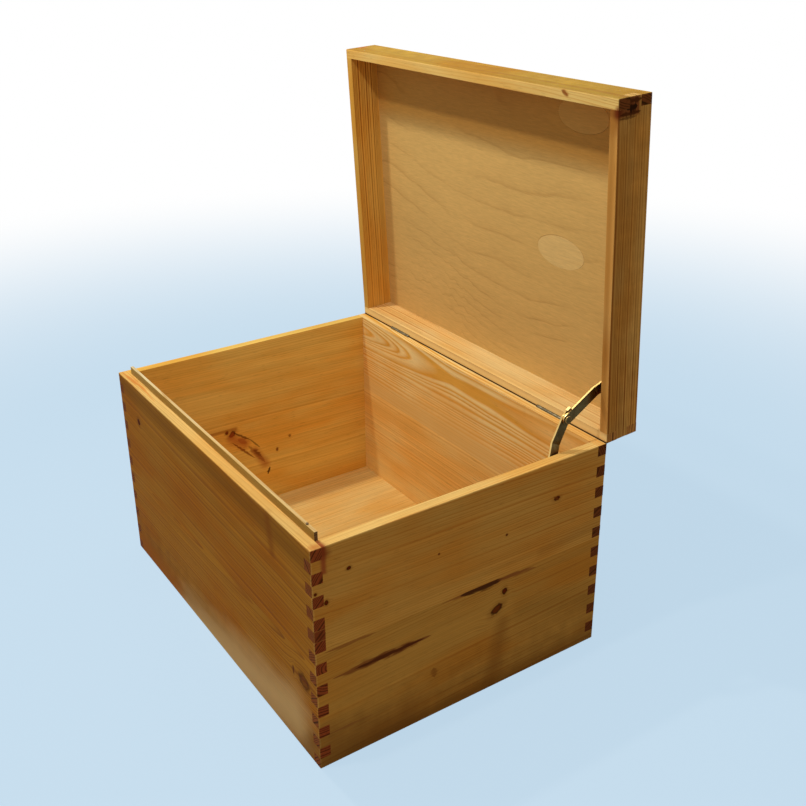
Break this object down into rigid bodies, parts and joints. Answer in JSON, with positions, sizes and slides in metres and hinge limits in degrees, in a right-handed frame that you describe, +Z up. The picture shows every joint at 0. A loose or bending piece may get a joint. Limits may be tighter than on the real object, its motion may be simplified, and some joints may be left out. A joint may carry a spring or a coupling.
{
  "type": "carpenters tool chest",
  "caption": "Finger-jointed pine tool chest with a framed lid on butt hinges, a dust lip along the front rim and a folding brass stay that holds the lid open.",
  "frame": {"origin": "on the ground under the middle of the chest as it stands with the lid open: the bottom centre of the whole object's box at rest, 17.7955 mm behind the middle of the 300 mm deep box", "axes": "+Z up, X along the 400 mm length and the hinge line, -Y the front with the dust lip, +Y the back with the hinges, +X the end with the stay"},
  "size_m": [0.4, 0.3356, 0.5111],
  "materials": {
    "pine": "clear satin varnish over knotty pine",
    "bottom_pine": "clear satin varnish",
    "lip_pine": "bare planed pine",
    "plywood": "clear satin varnish over rotary-cut veneer",
    "patch_veneer": "clear satin varnish",
    "hinge_steel": "dull plated steel",
    "pin_steel": "drawn steel wire",
    "brass": "polished, a little tarnished",
    "brass_screws": "turned"
  },
  "bodies": {
    "chest": {"front_board_lower": "pine", "front_board_upper": "pine", "back_board_lower": "pine", "back_board_upper": "pine", "left_board_lower": "pine", "left_board_upper": "pine", "right_board_lower": "pine", "right_board_upper": "pine", "bottom_panel": "bottom_pine", "dust_lip": "lip_pine", "dust_lip_pins": "pin_steel", "hinge_left_chest_leaf": "hinge_steel", "hinge_right_chest_leaf": "hinge_steel", "hinge_left_pin": "pin_steel", "hinge_right_pin": "pin_steel", "hinge_chest_screws": "pin_steel", "stay_chest_plate": "brass", "stay_chest_plate_screws": "brass_screws", "stay_foot_stud": "brass"},
    "lid": {"lid_front_rail": "pine", "lid_back_rail": "pine", "lid_left_rail": "pine", "lid_right_rail": "pine", "lid_panel": "plywood", "lid_panel_patches": "patch_veneer", "hinge_left_lid_leaf": "hinge_steel", "hinge_right_lid_leaf": "hinge_steel", "hinge_lid_screws": "pin_steel", "stay_lid_plate": "brass", "stay_lid_plate_screws": "brass_screws", "stay_head_rivet": "brass"},
    "stay_upper_arm": {"stay_upper_arm": "brass", "stay_elbow_rivet": "brass"},
    "stay_lower_arm": {"stay_lower_arm": "brass"}
  },
  "joints": [
    {"name": "lid_hinge", "type": "hinge", "parent": "chest", "child": "lid", "pos_m": [0, 0.1316, 0.21025], "axis": [1, 0, 0], "range_deg": [0, 87]},
    {"name": "stay_head_pivot", "type": "hinge", "parent": "lid", "child": "stay_upper_arm", "pos_m": [0.1886, 0.15311, 0.27286], "axis": [1, 0, 0], "range_deg": [-94.71, 0]},
    {"name": "stay_elbow", "type": "hinge", "parent": "stay_upper_arm", "child": "stay_lower_arm", "pos_m": [0.1854, 0.0957, 0.2386], "axis": [1, 0, 0], "range_deg": [0, 97.47]}
  ],
  "couplings": [
    {"joint": "stay_head_pivot", "follows": "lid_hinge", "ratio": -1.0886},
    {"joint": "stay_elbow", "follows": "lid_hinge", "ratio": 1.1203}
  ]
}
